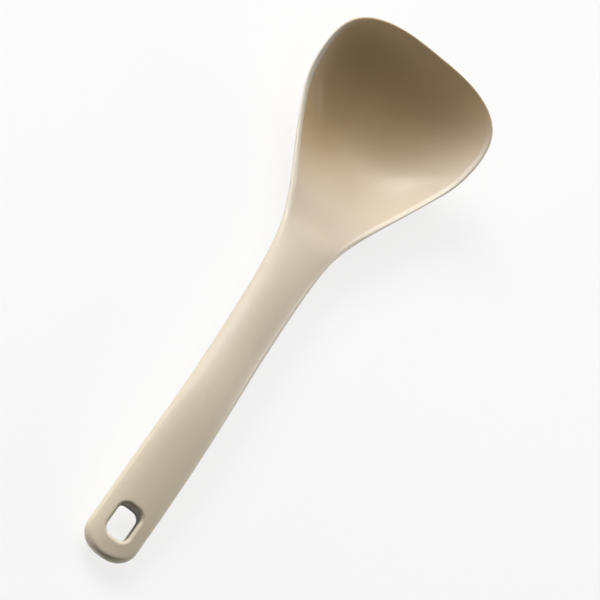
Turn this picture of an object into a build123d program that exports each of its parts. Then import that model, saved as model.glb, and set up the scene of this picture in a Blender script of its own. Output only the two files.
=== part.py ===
from build123d import *
import math
import os

os.makedirs("parts", exist_ok=True)

# Rice paddle at rest on a table: handle end towards -X, bowl towards +X, +Z up.
# A stiff core runs from the hanging hole into the bowl, and a soft skin is moulded round it.
# Lengths are in millimetres. A share is a part of the named size it is multiplied by.

# Overall sizes
overall_length = 258.0
bowl_width = 82.0
front_edge_height = 40.6
rim_thickness = 2.8
rim_rounding_width = 1.6

# Plan outline: a rounded handle end, curved sides, and a rounded front from the widest place on
handle_end_length = 9.0
handle_end_power = 1.9
bowl_front_length = 25.0
bowl_front_power = 3.11
side_station_shares = (
    0.0465, 0.167, 0.267, 0.384, 0.500, 0.578, 0.620, 0.659, 0.698, 0.756, 0.826, 0.874, 0.9128,
)
side_width_shares = (
    0.273, 0.271, 0.260, 0.252, 0.262, 0.287, 0.322, 0.388, 0.482, 0.643, 0.842, 0.964, 1.0,
)

# Height of the rim's middle along the paddle, as shares of its height at the front
rim_station_shares = (
    0.0, 0.062, 0.167, 0.295, 0.384, 0.531, 0.655, 0.736, 0.802, 0.857, 0.899, 0.938, 0.977, 1.0,
)
rim_height_shares = (
    0.119, 0.216, 0.342, 0.429, 0.422, 0.413, 0.376, 0.392, 0.414, 0.501, 0.627, 0.760, 0.922, 1.0,
)

# Cross section: the middle stands above its edges on the handle and below them in the bowl
section_power = 2.4
bowl_depth = 17.5

# At the handle's end the arch runs out and the rim rises, so that the top stays level and the underside lifts
handle_end_lift = 2.6
handle_end_fullness = 2.8

# Top and underside of the middle line below the rim, as shares of the bowl's depth
depth_station_shares = (
    0.050, 0.300, 0.540, 0.590, 0.624, 0.655, 0.694, 0.748, 0.802, 0.857, 0.899, 0.938, 0.977, 1.0,
)
top_depth_shares = (
    -0.149, -0.149, -0.149, -0.115, -0.060, 0.072, 0.220, 0.558, 0.889, 1.032, 0.971, 0.730, 0.343, 0.086,
)
under_depth_shares = (
    0.309, 0.309, 0.309, 0.306, 0.315, 0.323, 0.410, 0.622, 0.843, 0.968, 0.915, 0.698, 0.343, 0.086,
)

# Thickness of the rim at the same stations: stout at the bowl's sides and thin at its front
rim_thickness_shares = (
    1.0, 1.0, 1.0, 1.05, 1.1, 1.15, 1.25, 1.35, 1.4, 1.4, 1.35, 1.2, 0.85, 0.6,
)
rim_rounding_share = 0.29

# Hanging hole near the handle's end
hole_centre = 15.6
hole_length = 14.0
hole_width = 10.2
hole_corner_radius = 3.8
hole_tilt = 13.0
hole_lip_radius = 1.4

# Soft skin over the core
skin_in_bowl = 0.8
skin_on_handle = 1.6
skin_round_hole = 2.4
skin_at_edge = 2.2

# Places along the paddle where the skin changes its thickness
hole_zone_share = 0.11
handle_zone_share = 0.17
neck_share = 0.56
bowl_share = 0.70

# Openings through the core that the skin fills and grips
spine_slot_length = 20.0
spine_slot_width = 5.0
spine_slot_shares = (0.215, 0.335, 0.455)
bowl_lock_diameter = 6.0
bowl_lock_shares = (
    (0.72, 0.0), (0.79, -0.40), (0.79, 0.40), (0.86, 0.0),
    (0.88, -0.62), (0.88, 0.62), (0.94, -0.28), (0.94, 0.28),
)

# Fineness of the curved surfaces, which run on a little past the outline before they are cut
end_rows = 6
side_rows = 28
front_rows = 12
edge_steps = 5
half_steps = 7
surface_overrun = 1.0
surface_tolerance = 0.01
end_last_turn = 78
front_last_turn = 85

# Points on the outline's rounded ends, and the pieces its closed curve is made in
outline_end_points = 5
outline_front_points = 8
outline_pieces = 8


def smooth_line(stations, values):
    # Natural cubic curve through the given points, straight beyond both ends.
    count = len(stations)
    gaps = [stations[i + 1] - stations[i] for i in range(count - 1)]
    rises = [(values[i + 1] - values[i]) / gaps[i] for i in range(count - 1)]
    bends = [0.0] * count
    factors = [0.0] * count
    for i in range(1, count - 1):
        spread = 2 * (gaps[i - 1] + gaps[i]) - gaps[i - 1] * factors[i - 1]
        factors[i] = gaps[i] / spread
        bends[i] = (6 * (rises[i] - rises[i - 1]) - gaps[i - 1] * bends[i - 1]) / spread
    for i in range(count - 2, 0, -1):
        bends[i] -= factors[i] * bends[i + 1]

    def value(station):
        if station <= stations[0]:
            slope = rises[0] - gaps[0] * bends[1] / 6
            return values[0] + slope * (station - stations[0])
        if station >= stations[-1]:
            slope = rises[-1] + gaps[-1] * bends[-2] / 6
            return values[-1] + slope * (station - stations[-1])
        i = 0
        while station > stations[i + 1]:
            i += 1
        a = (stations[i + 1] - station) / gaps[i]
        b = 1 - a
        curve = (a ** 3 - a) * bends[i] + (b ** 3 - b) * bends[i + 1]
        return a * values[i] + b * values[i + 1] + curve * gaps[i] ** 2 / 6

    return value


rim_height_share = smooth_line(rim_station_shares, rim_height_shares)
top_depth_share = smooth_line(depth_station_shares, top_depth_shares)
under_depth_share = smooth_line(depth_station_shares, under_depth_shares)
rim_share = smooth_line(depth_station_shares, rim_thickness_shares)
side_width_share = smooth_line(side_station_shares, side_width_shares)


def full_half_width(station):
    # Half width of the side curves, held level past both ends of them.
    low = side_station_shares[0]
    high = side_station_shares[-1]
    return side_width_share(min(max(station / overall_length, low), high)) * bowl_width / 2


def end_share(station):
    # One at the handle's tip, falling to nought where its rounded end begins.
    return max(0.0, 1 - station / handle_end_length) ** handle_end_fullness


def arch(station, y):
    # One on the middle line, nought at the sides and at the handle's tip.
    across = abs(y) / full_half_width(station)
    return 1 - across ** section_power - end_share(station)


def share_at(share_line, station):
    # Read from a line that starts at the first depth station.
    return share_line(max(station / overall_length, depth_station_shares[0]))


def depth(share_line, station):
    return share_at(share_line, station) * bowl_depth


def middle_height(station, y):
    low = (depth(top_depth_share, station) + depth(under_depth_share, station)) / 2
    rim = rim_height_share(station / overall_length) * front_edge_height
    return rim + handle_end_lift * end_share(station) - low * arch(station, y)


def ease(part):
    part = min(max(part, 0), 1)
    return part * part * (3 - 2 * part)


def skin_thickness(station):
    # Thickest round the hanging hole, thinnest at the bowl's front.
    share = station / overall_length
    past_hole = ease((share - hole_zone_share) / (handle_zone_share - hole_zone_share))
    into_bowl = ease((share - neck_share) / (bowl_share - neck_share))
    on_handle = skin_round_hole + (skin_on_handle - skin_round_hole) * past_hole
    in_bowl = skin_in_bowl * min(1, share_at(rim_share, station))
    return on_handle + (in_bowl - on_handle) * into_bowl


def rounded_end_points(length, power, turns, half_width_at, start, way):
    # Station and half width of points round one end, turned from its side to its tip.
    points = []
    for turn in turns:
        along = math.sin(math.radians(turn)) ** (2 / power)
        station = start + way * length * along
        half = half_width_at(station) * math.cos(math.radians(turn)) ** (2 / power)
        points.append((station, half))
    return points


front_start = overall_length - bowl_front_length


def outline_points(inset, end_turns, side_count, front_turns):
    # Station and half width all along one side of the outline drawn in by inset.
    def half_width_at(station):
        return full_half_width(station) - inset

    end = rounded_end_points(
        handle_end_length - inset, handle_end_power, end_turns, half_width_at, handle_end_length, -1
    )
    side = []
    for i in range(side_count + 1):
        station = handle_end_length + (front_start - handle_end_length) * i / side_count
        side.append((station, half_width_at(station)))
    front = rounded_end_points(
        bowl_front_length - inset, bowl_front_power, front_turns, half_width_at, front_start, 1
    )
    return end[::-1] + side + front


def gap_to_outline(station, y):
    # Distance in from the outline, negative outside it.
    half = full_half_width(station)
    across = half - abs(y)
    if handle_end_length <= station <= front_start:
        return across
    part = abs(y) / half
    if station < handle_end_length:
        power = handle_end_power
        length = handle_end_length
        part_along = (handle_end_length - station) / length
    else:
        power = bowl_front_power
        length = bowl_front_length
        part_along = (station - front_start) / length
    level = part ** power + part_along ** power
    if level <= 0:
        return half
    size = level ** (1 / power)
    slope_across = (part / size) ** (power - 1) / half
    slope_along = (part_along / size) ** (power - 1) / length
    return (1 - size) / math.hypot(slope_across, slope_along)


def rounding_drop(station, y):
    # How far the rim's rounding takes the surface in.
    part = max(0.0, 1 - gap_to_outline(station, y) / rim_rounding_width)
    return rim_rounding_share * rim_thickness * share_at(rim_share, station) * part * part


def half_thickness(station, y, cover):
    swell = (depth(under_depth_share, station) - depth(top_depth_share, station)) / 2
    plain = rim_thickness / 2 * share_at(rim_share, station) + swell * max(arch(station, y), 0)
    if cover:
        return plain - skin_thickness(station)
    return plain - rounding_drop(station, y)


def curved_face(side, cover):
    # Top or underside, running a little past the outline.
    end_turns = [end_last_turn * (i + 1) / end_rows for i in range(end_rows)]
    front_turns = [front_last_turn * (i + 1) / front_rows for i in range(front_rows)]
    rows = []
    for station, half in outline_points(-surface_overrun, end_turns, side_rows, front_turns):
        pitch = min(rim_rounding_width / 4, half / (2 * edge_steps))
        inner = half - pitch * edge_steps
        spots = [half - pitch * i for i in range(edge_steps)]
        spots += [inner * math.cos(math.pi / 2 * i / half_steps) for i in range(half_steps)]
        ys = spots + [0.0] + [-y for y in reversed(spots)]
        row = []
        for y in ys:
            z = middle_height(station, y) + side * half_thickness(station, y, cover)
            row.append((station - overall_length / 2, y, z))
        rows.append(row)
    return Face.make_surface_from_array_of_points(rows, tol=surface_tolerance)


def plan_face(inset):
    end_turns = [90 * (i + 1) / outline_end_points for i in range(outline_end_points)]
    front_turns = [90 * (i + 1) / outline_front_points for i in range(outline_front_points)]
    half_line = outline_points(inset, end_turns, side_rows, front_turns)
    left = [(station - overall_length / 2, half) for station, half in half_line]
    right = [(x, -y) for x, y in left[-2:0:-1]]
    loop = Spline(*left, *right, periodic=True)
    cuts = [i / outline_pieces for i in range(outline_pieces + 1)]
    return make_face([loop.trim(start, end) for start, end in zip(cuts, cuts[1:])])


def slab(plan, cover):
    # Everything over the plan between the top and the underside.
    tall = 3 * front_edge_height
    block = extrude(Pos(0, 0, -tall) * plan, 2 * tall)
    block -= Solid.extrude(curved_face(1, cover), Vector(0, 0, 2 * tall))
    block -= Solid.extrude(curved_face(-1, cover), Vector(0, 0, -2 * tall))
    return block


# Whole paddle: everything between the top and the underside, cut flat where it meets the table
body = slab(plan_face(0.0), False)
body -= Pos(0, 0, -front_edge_height) * Box(2 * overall_length, 2 * bowl_width, 2 * front_edge_height)

# Hanging hole, square to the sloping handle end, with rounded lips
tilt = math.radians(hole_tilt)
hole_plane = Plane(
    origin=(hole_centre - overall_length / 2, 0, middle_height(hole_centre, 0)),
    x_dir=(math.cos(tilt), 0, math.sin(tilt)),
    z_dir=(-math.sin(tilt), 0, math.cos(tilt)),
)
hole_outline = RectangleRounded(hole_length, hole_width, hole_corner_radius)
hole = extrude(hole_plane * hole_outline, hole_length, both=True)
body -= hole


def on_a_lip(edge):
    # The edges where the hole's wall meets the top or the underside.
    middle = hole_plane.to_local_coords(edge @ 0.5)
    on_wall = abs(middle.Y) < hole_width and abs(middle.X) < hole_length / 2 + hole_lip_radius
    runs_round = abs((edge % 0.5).dot(hole_plane.z_dir)) < 1 / 2
    return on_wall and runs_round and abs(middle.Z) > rim_thickness / 2


skin_outside = fillet([edge for edge in body.edges() if on_a_lip(edge)], hole_lip_radius)

# Stiff core: the same form drawn in by the skin's thickness, open at the hanging hole
core = slab(plan_face(skin_at_edge), True) - hole
spine_slot = SlotOverall(spine_slot_length, spine_slot_width)
bowl_lock = Circle(bowl_lock_diameter / 2)
for share in spine_slot_shares:
    core -= extrude(Pos((share - 1 / 2) * overall_length, 0) * spine_slot, 2 * front_edge_height)
for share, across in bowl_lock_shares:
    x = (share - 1 / 2) * overall_length
    core -= extrude(Pos(x, across * bowl_width / 2) * bowl_lock, 2 * front_edge_height)

# Soft skin: the whole paddle less the core it is moulded round
skin = skin_outside - core
export_step(core, "parts/nylon_core.step")
export_step(skin, "parts/silicone_skin.step")
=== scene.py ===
import math

import bpy
import numpy as np
from mathutils import Matrix, Vector


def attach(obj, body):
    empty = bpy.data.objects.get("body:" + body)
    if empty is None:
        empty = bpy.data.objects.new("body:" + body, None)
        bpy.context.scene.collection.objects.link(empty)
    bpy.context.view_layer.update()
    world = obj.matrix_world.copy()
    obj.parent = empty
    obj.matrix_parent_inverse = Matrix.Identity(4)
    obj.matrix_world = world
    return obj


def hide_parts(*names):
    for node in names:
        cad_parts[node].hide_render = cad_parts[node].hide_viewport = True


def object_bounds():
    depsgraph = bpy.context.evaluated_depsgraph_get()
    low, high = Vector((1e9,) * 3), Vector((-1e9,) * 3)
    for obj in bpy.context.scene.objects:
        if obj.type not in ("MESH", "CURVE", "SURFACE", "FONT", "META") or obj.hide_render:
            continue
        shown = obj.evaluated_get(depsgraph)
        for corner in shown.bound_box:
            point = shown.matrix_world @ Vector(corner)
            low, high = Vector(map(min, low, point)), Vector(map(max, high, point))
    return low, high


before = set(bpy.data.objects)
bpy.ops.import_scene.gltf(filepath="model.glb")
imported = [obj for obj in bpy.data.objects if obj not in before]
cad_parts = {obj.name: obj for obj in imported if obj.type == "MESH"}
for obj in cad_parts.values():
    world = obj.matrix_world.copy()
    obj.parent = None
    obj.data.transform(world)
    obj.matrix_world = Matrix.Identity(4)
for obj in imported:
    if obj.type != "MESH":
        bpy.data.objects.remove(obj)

bl_info = {
    "name": "Rice paddle",
    "version": (1, 0, 0),
    "blender": (4, 5, 0),
    "location": "3D View > Sidebar > Rice paddle",
    "description": "Builds a soft-skinned rice paddle round its packed core, with finishes and a pale studio",
    "category": "Add Mesh",
}

SKIN_NODE = "silicone_skin"
CORE_NODE = "nylon_core"
BODY = "root"
CAD_LOW, CAD_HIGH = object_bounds()
LENGTH = CAD_HIGH.x - CAD_LOW.x

# Half width of the outline's sides along the paddle, as shares of the bowl's half width
SIDE_STATIONS = (0.0465, 0.167, 0.267, 0.384, 0.500, 0.578, 0.620, 0.659, 0.698, 0.756, 0.826, 0.874, 0.9128)
SIDE_WIDTHS = (0.273, 0.271, 0.260, 0.252, 0.262, 0.287, 0.322, 0.388, 0.482, 0.643, 0.842, 0.964, 1.0)

# Height of the rim's middle, as shares of its height at the front
RIM_STATIONS = (
    0.0, 0.062, 0.167, 0.295, 0.384, 0.531, 0.655, 0.736, 0.802, 0.857, 0.899, 0.938, 0.977, 1.0,
)
RIM_HEIGHTS = (
    0.119, 0.216, 0.342, 0.429, 0.422, 0.413, 0.376, 0.392, 0.414, 0.501, 0.627, 0.760, 0.922, 1.0,
)

# Top and underside of the middle line below the rim, as shares of the bowl's depth
DEPTH_STATIONS = (
    0.050, 0.300, 0.540, 0.590, 0.624, 0.655, 0.694, 0.748, 0.802, 0.857, 0.899, 0.938, 0.977, 1.0,
)
TOP_DEPTHS = (
    -0.149, -0.149, -0.149, -0.115, -0.060, 0.072, 0.220, 0.558, 0.889, 1.032, 0.971, 0.730, 0.343, 0.086,
)
UNDER_DEPTHS = (
    0.309, 0.309, 0.309, 0.306, 0.315, 0.323, 0.410, 0.622, 0.843, 0.968, 0.915, 0.698, 0.343, 0.086,
)

# Thickness of the rim at the same stations, as shares of the handle's rim
RIM_SHARES = (1.0, 1.0, 1.0, 1.05, 1.1, 1.15, 1.25, 1.35, 1.4, 1.4, 1.35, 1.2, 0.85, 0.6)

# Camera that matches the photograph: its right and up directions, and its offset from the paddle's middle
CAMERA_RIGHT = (0.452806, -0.772793, 0.444700)
CAMERA_UP = (0.713919, 0.613035, 0.338391)
CAMERA_OFFSET = (0.018420, 0.004652)

# Where the painted shade and painted light on the skin change, in millimetres from the paddle's middle: start
# and full strength of each. The painted shade in the bowl follows a level direction between forward and left,
# as the bowl's shade does.
BOWL_SHADE_WAY = (0.76, 0.65)
BOWL_SHADE_REACH = (42, 86)
HANDLE_END_LIGHT_REACH = (-15, -125)

# Shares of the length between which the painted highlight on the rim comes in and fades out
RIM_HIGHLIGHT_COMES_IN = (0.6, 0.7)
RIM_HIGHLIGHT_FADES_OUT = (0.92, 0.98)

# Depth of the moulded grain, and how much it changes the roughness
RELIEF_MILLIMETRES = 0.1
ROUGHNESS_CHANGE = 0.12

# Fineness of the skin's mesh
END_PLACES = 41
SIDE_PLACES = 191
ACROSS = 48
RIM_TURNS = 10
LIP_TURNS = 9
LAND_RINGS = 9
LAND_CROWDING = 1.2
OUTLINE_STEPS = 6000

# Share of the side after which the rows across bow towards the front curve
BOWING_STARTS = 0.72

# Sizes of the mesh's layout, in millimetres
RIM_STRIP_WIDTH = 2.8
END_BLOCK_LENGTH = 29
LIP_BEAD = 0.22
TUCK_BEHIND_CORE = 0.6
WELD_DISTANCE = 0.002

# Soft boxes, aimed at a point above the paddle's middle: name, direction from +X towards +Y and height above
# the table in degrees, power in watts, and side in metres
LAMPS = (
    ("front fill", 15, 55, 5.4, 0.7), ("left key", 45, 40, 10.0, 0.7), ("left fill", 60, 40, 11.3, 0.7),
    ("low left", 75, 10, 9.2, 0.7), ("low right", -60, 10, 15.0, 0.7), ("glint", -9, 72, 1.2, 0.1),
)
LAMP_TARGET_MILLIMETRES = 20

# White floor a little below the table plane, how much of it glows for the camera, and the world's weak fill
FLOOR_DROP_MILLIMETRES = 0.2
FLOOR_WHITENESS = 0.85
FLOOR_GLOW = 0.8
WORLD_FILL = 0.01


def millimetres(size):
    return size / 1000


# Sizes and colours a user would change


class PaddleForm(bpy.types.PropertyGroup):
    length: bpy.props.FloatProperty(
        name="Length", description="Handle end to front edge", default=LENGTH, unit="LENGTH"
    )
    bowl_width: bpy.props.FloatProperty(
        name="Bowl width", description="Widest place of the bowl", default=millimetres(82), unit="LENGTH"
    )
    front_height: bpy.props.FloatProperty(
        name="Front edge height", description="Middle of the front edge above the table",
        default=millimetres(40.6), unit="LENGTH",
    )
    rim_thickness: bpy.props.FloatProperty(
        name="Rim thickness", description="Thickness of the handle's outer edge",
        default=millimetres(2.8), unit="LENGTH",
    )
    bowl_depth: bpy.props.FloatProperty(
        name="Bowl depth", description="Depth of the bowl's middle below its rim",
        default=millimetres(17.5), unit="LENGTH",
    )
    section_power: bpy.props.FloatProperty(
        name="Section power", description="2 makes a round cross section, more a flatter one",
        default=2.4, min=1.5, max=4,
    )
    end_length: bpy.props.FloatProperty(
        name="Handle end length", description="Length of the handle's rounded end",
        default=millimetres(9), unit="LENGTH",
    )
    end_power: bpy.props.FloatProperty(
        name="Handle end power", description="2 makes an elliptic end, more makes it squarer", default=1.9
    )
    end_lift: bpy.props.FloatProperty(
        name="Handle end lift", description="How far the rim rises to the handle's tip to keep the top level",
        default=millimetres(2.6), unit="LENGTH",
    )
    end_fullness: bpy.props.FloatProperty(
        name="Handle end fullness", description="2 makes a domed end, more keeps its thickness to the edge",
        default=2.8,
    )
    front_length: bpy.props.FloatProperty(
        name="Bowl front length", description="Length of the bowl's rounded front",
        default=millimetres(25), unit="LENGTH",
    )
    front_power: bpy.props.FloatProperty(
        name="Bowl front power", description="2 makes an elliptic front, more makes it squarer", default=3.11
    )


class HangingHole(bpy.types.PropertyGroup):
    centre: bpy.props.FloatProperty(
        name="Distance", description="Handle end to the hole's centre",
        default=millimetres(15.6), unit="LENGTH",
    )
    length: bpy.props.FloatProperty(
        name="Length", description="Length between the hole's walls", default=millimetres(14), unit="LENGTH"
    )
    width: bpy.props.FloatProperty(
        name="Width", description="Width between the hole's walls", default=millimetres(10.2), unit="LENGTH"
    )
    corner: bpy.props.FloatProperty(
        name="Corner radius", description="Radius of the hole's corners",
        default=millimetres(3.8), unit="LENGTH",
    )
    tilt: bpy.props.FloatProperty(
        name="Tilt", description="Lean of the hole's wall from upright",
        default=math.radians(13), subtype="ANGLE",
    )
    lip: bpy.props.FloatProperty(
        name="Lip radius", description="Rounding where the wall meets the skin's surface",
        default=millimetres(1.4), unit="LENGTH",
    )
    skin: bpy.props.FloatProperty(
        name="Skin depth", description="How far the skin reaches down the hole's wall",
        default=millimetres(2.4), unit="LENGTH",
    )


class SkinFinish(bpy.types.PropertyGroup):
    colour: bpy.props.FloatVectorProperty(
        name="Colour", description="Moulded silicone", subtype="COLOR", size=3, min=0, max=1,
        default=(0.645, 0.56, 0.445),
    )
    warm: bpy.props.FloatVectorProperty(
        name="Warm patches", description="Slightly warmer tone that comes and goes over the skin",
        subtype="COLOR", size=3, min=0, max=1, default=(0.62, 0.525, 0.405),
    )
    # Painted shade: a deeper, warmer colour laid into the bowl where its shade falls
    bowl: bpy.props.FloatVectorProperty(
        name="Bowl tone", description="Deeper, warmer tone of the skin in the bowl", subtype="COLOR",
        size=3, min=0, max=1, default=(0.63, 0.46, 0.26),
    )
    # Painted light: a paler colour towards the handle's end, standing in for light there
    handle_end_painted_light: bpy.props.FloatVectorProperty(
        name="Handle end tone", description="Paler tone of the skin towards the handle's end",
        subtype="COLOR", size=3, min=0, max=1, default=(0.76, 0.66, 0.50),
    )
    # Painted highlight: a pale colour on the rim along the bowl's sides, where its rounded edge catches the
    # light
    rim: bpy.props.FloatVectorProperty(
        name="Rim tone", description="Pale tone of the rim along the bowl's sides", subtype="COLOR",
        size=3, min=0, max=1, default=(0.76, 0.69, 0.57),
    )
    roughness: bpy.props.FloatProperty(
        name="Roughness", description="Satin at 0.4, matte at 0.7", default=0.48, min=0, max=1
    )


class CoreFinish(bpy.types.PropertyGroup):
    colour: bpy.props.FloatVectorProperty(
        name="Colour", description="Moulded nylon", subtype="COLOR", size=3, min=0, max=1,
        default=(0.12, 0.105, 0.095),
    )
    roughness: bpy.props.FloatProperty(
        name="Roughness", description="Satin at 0.4, matte at 0.7", default=0.55, min=0, max=1
    )


class PaleStudio(bpy.types.PropertyGroup):
    floor_size: bpy.props.FloatProperty(
        name="Floor size", description="Side of the square floor", default=6.0, unit="LENGTH"
    )
    lens: bpy.props.FloatProperty(
        name="Lens", description="Focal length of the camera in millimetres", default=152.07
    )
    distance: bpy.props.FloatProperty(
        name="Camera distance", description="Camera to the paddle's middle", default=1.00979, unit="LENGTH"
    )
    lamp_distance: bpy.props.FloatProperty(
        name="Lamp distance", description="Each soft box to the paddle's middle", default=1.6, unit="LENGTH"
    )


# The paddle's shape rule


def smooth_line(stations, values):
    """Natural cubic curve through the given points, straight beyond both ends."""
    count = len(stations)
    gaps = np.diff(stations)
    rises = np.diff(values) / gaps
    bends = np.zeros(count)
    factors = np.zeros(count)
    for i in range(1, count - 1):
        spread = 2 * (gaps[i - 1] + gaps[i]) - gaps[i - 1] * factors[i - 1]
        factors[i] = gaps[i] / spread
        bends[i] = (6 * (rises[i] - rises[i - 1]) - gaps[i - 1] * bends[i - 1]) / spread
    for i in range(count - 2, 0, -1):
        bends[i] -= factors[i] * bends[i + 1]
    stations = np.asarray(stations)
    values = np.asarray(values)
    low_slope = rises[0] - gaps[0] * bends[1] / 6
    high_slope = rises[-1] + gaps[-1] * bends[-2] / 6

    def value(station):
        station = np.asarray(station, float)
        inside = np.clip(station, stations[0], stations[-1])
        i = np.clip(np.searchsorted(stations, inside, side="right") - 1, 0, count - 2)
        a = (stations[i + 1] - inside) / gaps[i]
        b = 1 - a
        curve = ((a ** 3 - a) * bends[i] + (b ** 3 - b) * bends[i + 1]) * gaps[i] ** 2 / 6
        past = np.where(station < stations[0], low_slope, high_slope) * (station - inside)
        return a * values[i] + b * values[i + 1] + curve + past

    return value


side_width = smooth_line(SIDE_STATIONS, SIDE_WIDTHS)
rim_height = smooth_line(RIM_STATIONS, RIM_HEIGHTS)
top_depth = smooth_line(DEPTH_STATIONS, TOP_DEPTHS)
under_depth = smooth_line(DEPTH_STATIONS, UNDER_DEPTHS)
rim_share = smooth_line(DEPTH_STATIONS, RIM_SHARES)


def half_width(form, station):
    """Half width of the side curves, held level past both ends of them."""
    share = np.clip(np.asarray(station) / form.length, SIDE_STATIONS[0], SIDE_STATIONS[-1])
    return side_width(share) * form.bowl_width / 2


def depth_share(line, form, station):
    return line(np.maximum(np.asarray(station) / form.length, DEPTH_STATIONS[0]))


def half_thickness(form, station, y):
    """Half of the upright thickness away from the rim's rounding."""
    from_end = np.maximum(0, 1 - station / form.end_length)
    arch = 1 - np.abs(y / half_width(form, station)) ** form.section_power - from_end ** form.end_fullness
    swell = (depth_share(under_depth, form, station) - depth_share(top_depth, form, station)) / 2
    rim = form.rim_thickness / 2 * depth_share(rim_share, form, station)
    return rim + swell * form.bowl_depth * np.maximum(arch, 0)


def outline_line(form):
    """Points and inward normals along the outline's left half, from the handle's tip to the bowl's front."""
    turns = np.radians(np.linspace(90, 0, OUTLINE_STEPS // 4))
    end = form.end_length * (1 - np.sin(turns) ** (2 / form.end_power))
    end_half = half_width(form, end) * np.cos(turns) ** (2 / form.end_power)
    front_start = form.length - form.front_length
    side = np.linspace(form.end_length, front_start, OUTLINE_STEPS // 2)[1:-1]
    turns = turns[::-1]
    front = front_start + form.front_length * np.sin(turns) ** (2 / form.front_power)
    front_half = half_width(form, front) * np.cos(turns) ** (2 / form.front_power)
    stations = np.concatenate([end, side, front])
    halves = np.concatenate([end_half, half_width(form, side), front_half])
    halves[0] = halves[-1] = 0
    points = np.stack([stations, halves], 1)
    along = np.concatenate([[0], np.cumsum(np.hypot(*np.diff(points, axis=0).T))])
    even = np.linspace(0, along[-1], OUTLINE_STEPS)
    points = np.stack([np.interp(even, along, points[:, i]) for i in (0, 1)], 1)
    way = np.gradient(points, axis=0)
    way /= np.linalg.norm(way, axis=1)[:, None]
    inward = np.stack([way[:, 1], -way[:, 0]], 1)
    inward[0], inward[-1] = (1, 0), (-1, 0)
    return even, points, inward


def climb(value, start, end):
    """Nought at start, rising evenly to one at end, and level past both."""
    return np.clip((value - start) / (end - start), 0, 1)


def ease(value, start, end):
    """As climb, with a soft start and end."""
    part = climb(value, start, end)
    return part * part * (3 - 2 * part)


# The skin's plan: flat sheets of quads that the shape rule then raises


class Sheets:
    """Collects points in plan with what the shape rule needs at each, and the faces between them."""

    def __init__(self):
        self.plan, self.edge, self.drop, self.side, self.on_rim, self.faces = [], [], [], [], [], []
        self.count = 0

    def grid(self, plan, edge, drop, side, on_rim=0, closed=False, flip=False):
        """One sheet of rows and columns. plan has a station and a distance from the middle a point."""
        rows, columns = plan.shape[:2]
        self.plan.append(plan.reshape(-1, 2))
        for store, value in (
            (self.edge, edge), (self.drop, drop), (self.side, side), (self.on_rim, on_rim),
        ):
            store.append(np.broadcast_to(value, (rows, columns)).astype(float).ravel())
        at = self.count + np.arange(rows * columns).reshape(rows, columns)
        if closed:
            at = np.concatenate([at, at[:, :1]], 1)
        quads = np.stack([at[:-1, :-1], at[1:, :-1], at[1:, 1:], at[:-1, 1:]], -1).reshape(-1, 4)
        self.faces.append(quads if flip else quads[:, ::-1])
        self.count += rows * columns


def rounded_rectangle_points(half_length, half_breadth, corner, ways, offset):
    """Foot and outward normal on a rounded rectangle for rays from its centre to its offset outline."""
    a, b, r = half_length + offset, half_breadth + offset, corner + offset
    feet, normals = [], []
    for dx, dy in ways:
        sx, sy = math.copysign(1, dx), math.copysign(1, dy)
        dx, dy = abs(dx), abs(dy)
        if dx > 0 and dy * a / dx <= b - r:
            foot, normal = (half_length, dy * a / dx), (1, 0)
        elif dy > 0 and dx * b / dy <= a - r:
            foot, normal = (dx * b / dy, half_breadth), (0, 1)
        else:
            cx, cy = a - r, b - r
            size = dx * dx + dy * dy
            mid = dx * cx + dy * cy
            reach = (mid + math.sqrt(mid * mid - size * (cx * cx + cy * cy - r * r))) / size
            nx, ny = (reach * dx - cx) / r, (reach * dy - cy) / r
            foot, normal = (cx + nx * corner, cy + ny * corner), (nx, ny)
        feet.append((foot[0] * sx, foot[1] * sy))
        normals.append((normal[0] * sx, normal[1] * sy))
    return np.array(feet), np.array(normals)


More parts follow.
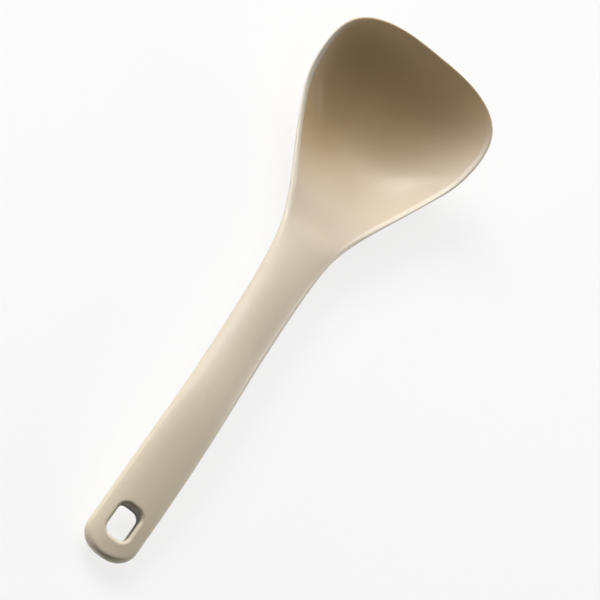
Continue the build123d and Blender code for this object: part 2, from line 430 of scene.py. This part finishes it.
def skin_plan(form, hole):
    """The closed skin as flat sheets: rim strip, bowl and handle, handle end and the hole's lips."""
    sheets = Sheets()
    along, points, inward = outline_line(form)

    def on_outline(where, inset):
        spot = np.stack([np.interp(where, along, points[:, i]) for i in (0, 1)], 1)
        into = np.stack([np.interp(where, along, inward[:, i]) for i in (0, 1)], 1)
        return spot + into * np.reshape(inset, (-1, 1))

    # Places along the half outline: the handle end block, the side, and the front from its corner on
    block_end = along[np.argmax(points[:, 0] > millimetres(END_BLOCK_LENGTH))]
    slant = np.abs(inward[:, 1]) < np.abs(inward[:, 0])
    corner = along[np.argmax(slant & (points[:, 0] > form.length / 2))]
    end_places = np.linspace(0, block_end, END_PLACES)
    side_places = np.linspace(block_end, corner, SIDE_PLACES)
    front_places = np.linspace(corner, along[-1], ACROSS // 2 + 1)

    # Rim strip: rounded over half its thickness, then a little further in
    places = np.concatenate([end_places, side_places[1:], front_places[1:]])
    strip_width = millimetres(RIM_STRIP_WIDTH)
    turns = np.radians(np.linspace(0, 90, RIM_TURNS))
    rim = form.rim_thickness / 2 * depth_share(rim_share, form, np.interp(places, along, points[:, 0]))
    insets = [rim * (1 - math.cos(turn)) for turn in turns] + [(rim + strip_width) / 2, strip_width]
    edges = np.concatenate([np.sin(turns), [1, 1]])
    left = np.stack([on_outline(places, inset) for inset in insets])
    mirrored = left[:, -2:0:-1] * (1, -1)
    loop = np.concatenate([left, mirrored], 1)
    # Rows on the rim's rounding carry the painted highlight, half of it on the next row
    on_rim = np.append(np.ones(len(turns)), [0.5, 0])[:, None]
    for side in (1, -1):
        sheets.grid(loop, edges[:, None], 0, side, on_rim, closed=True, flip=side > 0)

    # Bowl and handle: rows across, bowed towards the front curve
    left_side = on_outline(side_places, strip_width)
    front = on_outline(front_places, strip_width)
    front = np.concatenate([front, front[-2::-1] * (1, -1)])
    share = np.linspace(0, 1, ACROSS + 1)[None, :, None]
    rows = left_side[:, None] * (1 - share) + (left_side * (1, -1))[:, None] * share
    chord = front[0] * (1 - share[0]) + front[-1] * share[0]
    ramp = ease(np.linspace(0, 1, SIDE_PLACES), BOWING_STARTS, 1)
    rows = rows + ramp[:, None, None] * (front - chord)[None]
    for side in (1, -1):
        sheets.grid(rows, 1, 0, side, flip=side < 0)

    # Handle end: rings from the hole's lip out to the rim strip and the first row
    end_left = on_outline(end_places, strip_width)
    outer = np.concatenate([end_left[::-1], (end_left * (1, -1))[1:], rows[0][-2:0:-1]])
    lean, reach = math.cos(hole.tilt), math.sin(hole.tilt) * math.cos(hole.tilt)
    ways = (outer - (hole.centre, 0)) / (lean, 1)
    feet, normals = rounded_rectangle_points(hole.length / 2, hole.width / 2, hole.corner, ways, hole.lip)
    lip_turns = np.radians(np.linspace(90, 0, LIP_TURNS))
    lip_insets = hole.lip * (1 - np.cos(lip_turns))
    lip_drops = hole.lip * (1 - np.sin(lip_turns))
    bead = millimetres(LIP_BEAD)
    wall_insets = [0, -bead, -bead, 0, millimetres(TUCK_BEHIND_CORE)]
    wall_drops = [hole.skin - 3 * bead, hole.skin - 2 * bead, hole.skin - bead, hole.skin, hole.skin]
    ring_insets = np.concatenate([lip_insets, wall_insets])
    ring_drops = np.concatenate([lip_drops, wall_drops])
    inner_rings = {}
    for side in (1, -1):
        rings = []
        for inset, drop in zip(ring_insets, ring_drops):
            spot = feet + normals * inset
            station = hole.centre + spot[:, 0] * lean
            for _ in range(3):
                rise = half_thickness(form, station, spot[:, 1]) - drop
                station = hole.centre + spot[:, 0] * lean - side * rise * reach
            rings.append(np.stack([station, spot[:, 1]], 1))
        rings = np.stack(rings)
        out = np.linspace(0, 1, LAND_RINGS)[:, None, None] ** LAND_CROWDING
        land = rings[0] * (1 - out) + outer[None] * out
        sheets.grid(land, 1, 0, side, closed=True, flip=side > 0)
        sheets.grid(rings, 1, ring_drops[:, None], side, closed=True, flip=side < 0)
        inner_rings[side] = rings[-1]

    # Wall behind the core, out of sight, which closes the skin
    wall = np.stack([inner_rings[1], inner_rings[-1]])
    sheets.grid(wall, 1, ring_drops[-1], np.array([[1], [-1]]), closed=True, flip=False)
    return sheets


# Attribute that holds the painted highlight on the rim
RIM_HIGHLIGHT_MASK = "painted_rim_highlight"
RULE_FACTS = ("across", "rim_height", "rim_share", "top_depth", "under_depth", "edge", "drop", "side")


def flat_mesh(form, sheets):
    """The plan as a mesh on the table, with the shape rule's numbers stored at each point."""
    plan = np.concatenate(sheets.plan)
    station, y = plan[:, 0], plan[:, 1]
    mesh = bpy.data.meshes.new("skin plan")
    spots = np.stack([station - form.length / 2, y, np.zeros(len(y))], 1)
    mesh.from_pydata(spots.tolist(), [], np.concatenate(sheets.faces).tolist())
    facts = (
        np.abs(y) / half_width(form, station), rim_height(station / form.length),
        *(depth_share(line, form, station) for line in (rim_share, top_depth, under_depth)),
        np.concatenate(sheets.edge), np.concatenate(sheets.drop), np.concatenate(sheets.side),
    )
    share = station / form.length
    # The painted highlight on the rim, along the bowl's sides only
    pale = np.concatenate(sheets.on_rim) * climb(share, *RIM_HIGHLIGHT_COMES_IN) * (1 - climb(share, *RIM_HIGHLIGHT_FADES_OUT))
    for name, values in zip((*RULE_FACTS, RIM_HIGHLIGHT_MASK), (*facts, pale)):
        mesh.attributes.new(name, "FLOAT", "POINT").data.foreach_set("value", values.astype(np.float32))
    return mesh


# Geometry nodes


class NodeSheet:
    """Short ways to place and join nodes in one tree."""

    def __init__(self, tree):
        self.tree = tree

    def add(self, kind, **settings):
        node = self.tree.nodes.new(kind)
        for name, value in settings.items():
            setattr(node, name, value)
        return node

    def join(self, source, target):
        if isinstance(source, (int, float, tuple)):
            target.default_value = source
        else:
            self.tree.links.new(source, target)

    def maths(self, operation, *values):
        node = self.add("ShaderNodeMath", operation=operation)
        for value, target in zip(values, node.inputs):
            self.join(value, target)
        return node.outputs[0]

    def noise(self, place, scale, detail):
        node = self.add("ShaderNodeTexNoise")
        node.inputs["Detail"].default_value = detail
        self.join(place, node.inputs["Vector"])
        self.join(scale, node.inputs["Scale"])
        return node.outputs["Fac"]

    def soft_step(self, value, start, end):
        node = self.add("ShaderNodeMapRange", interpolation_type="SMOOTHSTEP")
        self.join(value, node.inputs["Value"])
        node.inputs["From Min"].default_value = start
        node.inputs["From Max"].default_value = end
        return node.outputs["Result"]

    def mixed_colour(self, share, first, second):
        node = self.add("ShaderNodeMix", data_type="RGBA")
        self.join(share, node.inputs["Factor"])
        self.join(first, node.inputs[6])
        self.join(second, node.inputs[7])
        return node.outputs[2]


def group_tree(name, kind, inputs, outputs):
    """An empty node group with named inputs and outputs. Each is a name and a kind of socket."""
    tree = bpy.data.node_groups.new(name, kind)
    for way, sockets in (("INPUT", inputs), ("OUTPUT", outputs)):
        for label, socket in sockets:
            tree.interface.new_socket(label, in_out=way, socket_type="NodeSocket" + socket)
    return tree


def paddle_rule_tree():
    """Raises a flat plan to the paddle's top or underside. Every size is a named input."""
    sizes = (
        "Length", "Front height", "Rim thickness", "Bowl depth", "Section power", "Handle end length",
        "Handle end lift", "Handle end fullness",
    )
    inputs = [("Geometry", "Geometry"), *((name, "Float") for name in sizes), ("Finish", "Material")]
    tree = group_tree("Paddle rule", "GeometryNodeTree", inputs, [("Geometry", "Geometry")])
    sheet = NodeSheet(tree)
    entry = sheet.add("NodeGroupInput").outputs

    def stored(name):
        node = sheet.add("GeometryNodeInputNamedAttribute", data_type="FLOAT")
        node.inputs["Name"].default_value = name
        return node.outputs["Attribute"]

    maths = sheet.maths
    place = sheet.add("ShaderNodeSeparateXYZ")
    sheet.join(sheet.add("GeometryNodeInputPosition").outputs[0], place.inputs[0])
    x, y = place.outputs[0], place.outputs[1]
    station = maths("ADD", x, maths("MULTIPLY", entry["Length"], 0.5))
    along_end = maths("DIVIDE", station, entry["Handle end length"])
    from_end = maths("MAXIMUM", 0.0, maths("SUBTRACT", 1.0, along_end))
    arch = maths("SUBTRACT", 1.0, maths("POWER", stored("across"), entry["Section power"]))
    at_end = maths("POWER", from_end, entry["Handle end fullness"])
    arch = maths("SUBTRACT", arch, at_end)
    half_depth = maths("MULTIPLY", entry["Bowl depth"], 0.5)
    top, under = stored("top_depth"), stored("under_depth")
    low = maths("MULTIPLY", maths("ADD", top, under), half_depth)
    swell = maths("MULTIPLY", maths("SUBTRACT", under, top), half_depth)
    middle = maths("MULTIPLY", stored("rim_height"), entry["Front height"])
    middle = maths("ADD", middle, maths("MULTIPLY", at_end, entry["Handle end lift"]))
    middle = maths("SUBTRACT", middle, maths("MULTIPLY", low, arch))
    half = maths("MULTIPLY", swell, maths("MAXIMUM", arch, 0.0))
    half_rim = maths("MULTIPLY", maths("MULTIPLY", entry["Rim thickness"], 0.5), stored("rim_share"))
    half = maths("ADD", half, half_rim)
    half = maths("SUBTRACT", maths("MULTIPLY", half, stored("edge")), stored("drop"))
    z = maths("MAXIMUM", maths("ADD", middle, maths("MULTIPLY", half, stored("side"))), 0.0)
    raised = sheet.add("ShaderNodeCombineXYZ")
    for source, target in zip((x, y, z), raised.inputs):
        sheet.join(source, target)
    move = sheet.add("GeometryNodeSetPosition")
    sheet.join(entry["Geometry"], move.inputs["Geometry"])
    sheet.join(raised.outputs[0], move.inputs["Position"])
    weld = sheet.add("GeometryNodeMergeByDistance")
    weld.inputs["Distance"].default_value = millimetres(WELD_DISTANCE)
    sheet.join(move.outputs[0], weld.inputs["Geometry"])
    smooth = sheet.add("GeometryNodeSetShadeSmooth")
    sheet.join(weld.outputs[0], smooth.inputs["Geometry"])
    real = sheet.add("GeometryNodeRealizeInstances")
    sheet.join(smooth.outputs[0], real.inputs["Geometry"])
    finish = sheet.add("GeometryNodeSetMaterial")
    sheet.join(real.outputs[0], finish.inputs["Geometry"])
    sheet.join(entry["Finish"], finish.inputs["Material"])
    leave = sheet.add("NodeGroupOutput")
    sheet.join(finish.outputs[0], leave.inputs["Geometry"])
    return tree


def plain_mesh(source, name):
    """The evaluated result of an object's modifiers as a mesh of its own."""
    bpy.context.view_layer.update()
    ready = source.evaluated_get(bpy.context.evaluated_depsgraph_get())
    mesh = bpy.data.meshes.new_from_object(ready)
    mesh.name = name
    return mesh


# Finishes


def coordinates(sheet):
    return sheet.add("ShaderNodeTexCoord").outputs["Object"]


def tone_group():
    """Two tones that come and go softly over a moulded surface."""
    inputs = (
        ("Place", "Vector"), ("Colour", "Color"), ("Other colour", "Color"),
        ("Patch scale", "Float"), ("Speck scale", "Float"),
    )
    tree = group_tree("Soft tone change", "ShaderNodeTree", inputs, [("Colour", "Color")])
    sheet = NodeSheet(tree)
    entry = sheet.add("NodeGroupInput").outputs
    patches = sheet.noise(entry["Place"], entry["Patch scale"], 2)
    specks = sheet.noise(entry["Place"], entry["Speck scale"], 3)
    both = sheet.maths("ADD", sheet.maths("MULTIPLY", patches, 0.8), sheet.maths("MULTIPLY", specks, 0.2))
    spread = sheet.soft_step(both, 0.35, 0.65)
    leave = sheet.add("NodeGroupOutput")
    sheet.join(sheet.mixed_colour(spread, entry["Colour"], entry["Other colour"]), leave.inputs["Colour"])
    return tree


def grain_group():
    """Fine grain of a moulded surface as a height, and how much it dulls the gloss."""
    inputs = (
        ("Place", "Vector"), ("Grain scale", "Float"), ("Ripple scale", "Float"),
        ("Roughness", "Float"), ("Roughness change", "Float"),
    )
    outputs = (("Height", "Float"), ("Roughness", "Float"))
    tree = group_tree("Moulded grain", "ShaderNodeTree", inputs, outputs)
    sheet = NodeSheet(tree)
    entry = sheet.add("NodeGroupInput").outputs
    grain = sheet.noise(entry["Place"], entry["Grain scale"], 2)
    ripple = sheet.noise(entry["Place"], entry["Ripple scale"], 1)
    maths = sheet.maths
    height = maths("ADD", maths("MULTIPLY", grain, 0.35), maths("MULTIPLY", ripple, 0.65))
    dull = maths("MULTIPLY", maths("SUBTRACT", ripple, 0.5), entry["Roughness change"])
    leave = sheet.add("NodeGroupOutput")
    sheet.join(height, leave.inputs["Height"])
    sheet.join(maths("ADD", entry["Roughness"], dull), leave.inputs["Roughness"])
    return tree


def shared_group(name, make):
    return bpy.data.node_groups.get(name) or make()


def moulded_material(name, colour, other_colour, roughness, patch_scale, speck_scale, grain_scale,
                     ripple_scale, bump, shader_values):
    """A moulded plastic or rubber from the two shared groups, with its own values."""
    material = bpy.data.materials.new(name)
    material.use_nodes = True
    material.diffuse_color = (*colour, 1)
    sheet = NodeSheet(material.node_tree)
    shader = material.node_tree.nodes["Principled BSDF"]
    place = coordinates(sheet)

    def placed_group(group, make, values):
        node = sheet.add("ShaderNodeGroup", node_tree=shared_group(group, make))
        for socket, value in (("Place", place), *values.items()):
            sheet.join(value, node.inputs[socket])
        return node.outputs

    tone = placed_group("Soft tone change", tone_group, {
        "Colour": (*colour, 1), "Other colour": (*other_colour, 1),
        "Patch scale": patch_scale, "Speck scale": speck_scale,
    })
    sheet.join(tone["Colour"], shader.inputs["Base Color"])
    grain = placed_group("Moulded grain", grain_group, {
        "Grain scale": grain_scale, "Ripple scale": ripple_scale,
        "Roughness": roughness, "Roughness change": ROUGHNESS_CHANGE,
    })
    sheet.join(grain["Roughness"], shader.inputs["Roughness"])
    relief = sheet.add("ShaderNodeBump")
    relief.inputs["Strength"].default_value = bump
    relief.inputs["Distance"].default_value = millimetres(RELIEF_MILLIMETRES)
    sheet.join(grain["Height"], relief.inputs["Height"])
    sheet.join(relief.outputs["Normal"], shader.inputs["Normal"])
    for socket, value in shader_values.items():
        shader.inputs[socket].default_value = value
    return material


def silicone_material(finish):
    material = moulded_material(
        "skin silicone", finish.colour, finish.warm, finish.roughness, patch_scale=22, speck_scale=260,
        grain_scale=5200, ripple_scale=900, bump=0.25,
        shader_values={
            "Specular IOR Level": 0.5, "IOR": 1.43,
            "Coat Weight": 0.12, "Coat Roughness": 0.16, "Coat IOR": 1.4,
        },
    )
    # Painted shade deepens the tone into the bowl, painted light pales it towards the handle's end, and a
    # painted highlight makes it palest on the bowl's rim
    sheet = NodeSheet(material.node_tree)
    shader = material.node_tree.nodes["Principled BSDF"]
    tone = shader.inputs["Base Color"].links[0].from_socket
    place = sheet.add("ShaderNodeSeparateXYZ")
    sheet.join(coordinates(sheet), place.inputs[0])
    forward, left = place.outputs[0], place.outputs[1]
    slantwise = sheet.maths("ADD", sheet.maths("MULTIPLY", forward, BOWL_SHADE_WAY[0]),
                            sheet.maths("MULTIPLY", left, BOWL_SHADE_WAY[1]))
    # Painted shade, strongest in the bowl's shaded part
    painted_bowl_shade = sheet.soft_step(slantwise, *(millimetres(place) for place in BOWL_SHADE_REACH))
    # Painted light towards the handle's end
    at_end = sheet.soft_step(forward, *(millimetres(place) for place in HANDLE_END_LIGHT_REACH))
    # Painted highlight on the rim along the bowl's sides
    on_rim = sheet.add("ShaderNodeAttribute", attribute_name=RIM_HIGHLIGHT_MASK).outputs["Fac"]
    for mask, colour in ((painted_bowl_shade, finish.bowl), (at_end, finish.handle_end_painted_light), (on_rim, finish.rim)):
        tone = sheet.mixed_colour(mask, tone, (*colour, 1))
    sheet.join(tone, shader.inputs["Base Color"])
    return material


def nylon_material(finish):
    paler = [min(1, part * 1.35) for part in finish.colour]
    return moulded_material(
        "core nylon", finish.colour, paler, finish.roughness, patch_scale=160, speck_scale=900,
        grain_scale=6000, ripple_scale=1400, bump=0.5, shader_values={"IOR": 1.53},
    )


# Pieces


class PADDLE_OT_skin(bpy.types.Operator):
    """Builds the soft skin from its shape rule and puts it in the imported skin's place"""

    bl_idname = "paddle.skin"
    bl_label = "Silicone skin"

    def execute(self, context):
        form, hole = context.scene.paddle_form, context.scene.paddle_hole
        finish = silicone_material(context.scene.paddle_skin)
        plan = bpy.data.objects.new("skin plan", flat_mesh(form, skin_plan(form, hole)))
        context.scene.collection.objects.link(plan)
        rule = plan.modifiers.new("Paddle rule", "NODES")
        rule.node_group = paddle_rule_tree()
        values = {
            "Length": form.length, "Front height": form.front_height, "Rim thickness": form.rim_thickness,
            "Bowl depth": form.bowl_depth, "Section power": form.section_power,
            "Handle end length": form.end_length, "Handle end lift": form.end_lift,
            "Handle end fullness": form.end_fullness, "Finish": finish,
        }
        for item in rule.node_group.interface.items_tree:
            if item.in_out == "INPUT" and item.name in values:
                rule[item.identifier] = values[item.name]
        skin = bpy.data.objects.new("soft_skin", plain_mesh(plan, "soft skin"))
        bpy.data.objects.remove(plan)
        if not skin.data.polygons:
            raise RuntimeError("the skin's shape rule gave no faces")
        for name in [a.name for a in skin.data.attributes if a.name in RULE_FACTS]:
            skin.data.attributes.remove(skin.data.attributes[name])
        context.scene.collection.objects.link(skin)
        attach(skin, BODY)
        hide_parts(SKIN_NODE)
        return {"FINISHED"}


class PADDLE_OT_core(bpy.types.Operator):
    """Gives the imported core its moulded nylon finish"""

    bl_idname = "paddle.core"
    bl_label = "Nylon core"

    def execute(self, context):
        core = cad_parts[CORE_NODE]
        material = nylon_material(context.scene.paddle_core)
        for slot in core.material_slots:
            slot.material = material
        return {"FINISHED"}


# Studio


def aim(place, target):
    """Turns something at place so that it looks at target."""
    return (Vector(target) - Vector(place)).to_track_quat("-Z", "Y").to_matrix().to_4x4()


def soft_lamp(context, name, azimuth, elevation, distance, size, energy):
    """A square soft box. Azimuth is counted from +X towards +Y."""
    a, e = math.radians(azimuth), math.radians(elevation)
    place = Vector((math.cos(a) * math.cos(e), math.sin(a) * math.cos(e), math.sin(e))) * distance
    lamp = bpy.data.lights.new(name, "AREA")
    lamp.shape = "SQUARE"
    lamp.size = size
    lamp.energy = energy
    holder = bpy.data.objects.new(name, lamp)
    holder.matrix_world = Matrix.Translation(place) @ aim(place, (0, 0, millimetres(LAMP_TARGET_MILLIMETRES)))
    context.scene.collection.objects.link(holder)


def white_floor_material():
    """Nearly white to the camera and to reflections, with the object's shadow faintly on it."""
    material = bpy.data.materials.new("white floor")
    material.use_nodes = True
    sheet = NodeSheet(material.node_tree)
    shader = material.node_tree.nodes["Principled BSDF"]
    output = material.node_tree.nodes["Material Output"]
    shader.inputs["Base Color"].default_value = (FLOOR_WHITENESS, FLOOR_WHITENESS, FLOOR_WHITENESS, 1)
    shader.inputs["Roughness"].default_value = 0.9
    shader.inputs["Specular IOR Level"].default_value = 0.0
    glow = sheet.add("ShaderNodeEmission")
    glow.inputs["Strength"].default_value = 1.0
    rays = sheet.add("ShaderNodeLightPath").outputs
    mix = sheet.add("ShaderNodeMixShader")
    seen = sheet.maths("MAXIMUM", rays["Is Camera Ray"], rays["Is Glossy Ray"])
    sheet.join(sheet.maths("MULTIPLY", seen, FLOOR_GLOW), mix.inputs["Fac"])
    sheet.join(shader.outputs[0], mix.inputs[1])
    sheet.join(glow.outputs[0], mix.inputs[2])
    sheet.join(mix.outputs[0], output.inputs["Surface"])
    return material


def pale_world(scene):
    """White where the camera sees it, and a weak fill for everything else."""
    world = bpy.data.worlds.new("pale studio")
    world.use_nodes = True
    sheet = NodeSheet(world.node_tree)
    background = world.node_tree.nodes["Background"]
    background.inputs["Color"].default_value = (1, 1, 1, 1)
    rays = sheet.add("ShaderNodeLightPath").outputs
    strength = sheet.maths("MAXIMUM", rays["Is Camera Ray"], WORLD_FILL)
    sheet.join(strength, background.inputs["Strength"])
    scene.world = world


class PADDLE_OT_stage(bpy.types.Operator):
    """Lays the pale floor and sets the lamps, the world and the camera"""

    bl_idname = "paddle.stage"
    bl_label = "Floor, lamps and camera"

    def execute(self, context):
        scene, studio = context.scene, context.scene.paddle_studio
        half = studio.floor_size / 2
        mesh = bpy.data.meshes.new("floor")
        level = -millimetres(FLOOR_DROP_MILLIMETRES)
        corners = [(-half, -half, level), (half, -half, level), (half, half, level), (-half, half, level)]
        mesh.from_pydata(corners, [], [(0, 1, 2, 3)])
        mesh.materials.append(white_floor_material())
        floor = bpy.data.objects.new("floor", mesh)
        scene.collection.objects.link(floor)
        pale_world(scene)
        for name, azimuth, elevation, energy, size in LAMPS:
            soft_lamp(context, name, azimuth, elevation, studio.lamp_distance, size, energy)
        camera = bpy.data.cameras.new("photo camera")
        camera.lens = studio.lens
        camera.sensor_width = 36
        camera.clip_start, camera.clip_end = 0.05, 20
        right = Vector(CAMERA_RIGHT)
        up = Vector(CAMERA_UP)
        back = right.cross(up)
        place = right * CAMERA_OFFSET[0] + up * CAMERA_OFFSET[1] + back * studio.distance
        holder = bpy.data.objects.new("photo camera", camera)
        holder.matrix_world = Matrix.Translation(place) @ Matrix((right, up, back)).transposed().to_4x4()
        scene.collection.objects.link(holder)
        scene.camera = holder
        scene.view_settings.view_transform = "Standard"
        return {"FINISHED"}


class PADDLE_PT_panel(bpy.types.Panel):
    """Lists the paddle's pieces and their sizes and colours"""

    bl_idname = "PADDLE_PT_panel"
    bl_label = "Rice paddle"
    bl_space_type = "VIEW_3D"
    bl_region_type = "UI"
    bl_category = "Rice paddle"

    def draw(self, context):
        for name, label in GROUPS.items():
            column = self.layout.column(align=True)
            column.label(text=label)
            group = getattr(context.scene, name)
            for key in group.bl_rna.properties.keys():
                if key not in ("rna_type", "name"):
                    column.prop(group, key)
        for operator in OPERATORS:
            self.layout.operator(operator.bl_idname, text=operator.bl_label)


GROUPS = {
    "paddle_form": "Form", "paddle_hole": "Hanging hole", "paddle_skin": "Skin", "paddle_core": "Core",
    "paddle_studio": "Studio",
}
PROPERTY_CLASSES = (PaddleForm, HangingHole, SkinFinish, CoreFinish, PaleStudio)
OPERATORS = (PADDLE_OT_stage, PADDLE_OT_skin, PADDLE_OT_core)


def register():
    for kind in PROPERTY_CLASSES + OPERATORS + (PADDLE_PT_panel,):
        bpy.utils.register_class(kind)
    for name, kind in zip(GROUPS, PROPERTY_CLASSES):
        setattr(bpy.types.Scene, name, bpy.props.PointerProperty(type=kind))


def unregister():
    for name in GROUPS:
        delattr(bpy.types.Scene, name)
    for kind in reversed(PROPERTY_CLASSES + OPERATORS + (PADDLE_PT_panel,)):
        bpy.utils.unregister_class(kind)


def main():
    register()
    bpy.ops.paddle.stage()
    bpy.ops.paddle.skin()
    bpy.ops.paddle.core()


if __name__ == "__main__":
    main()
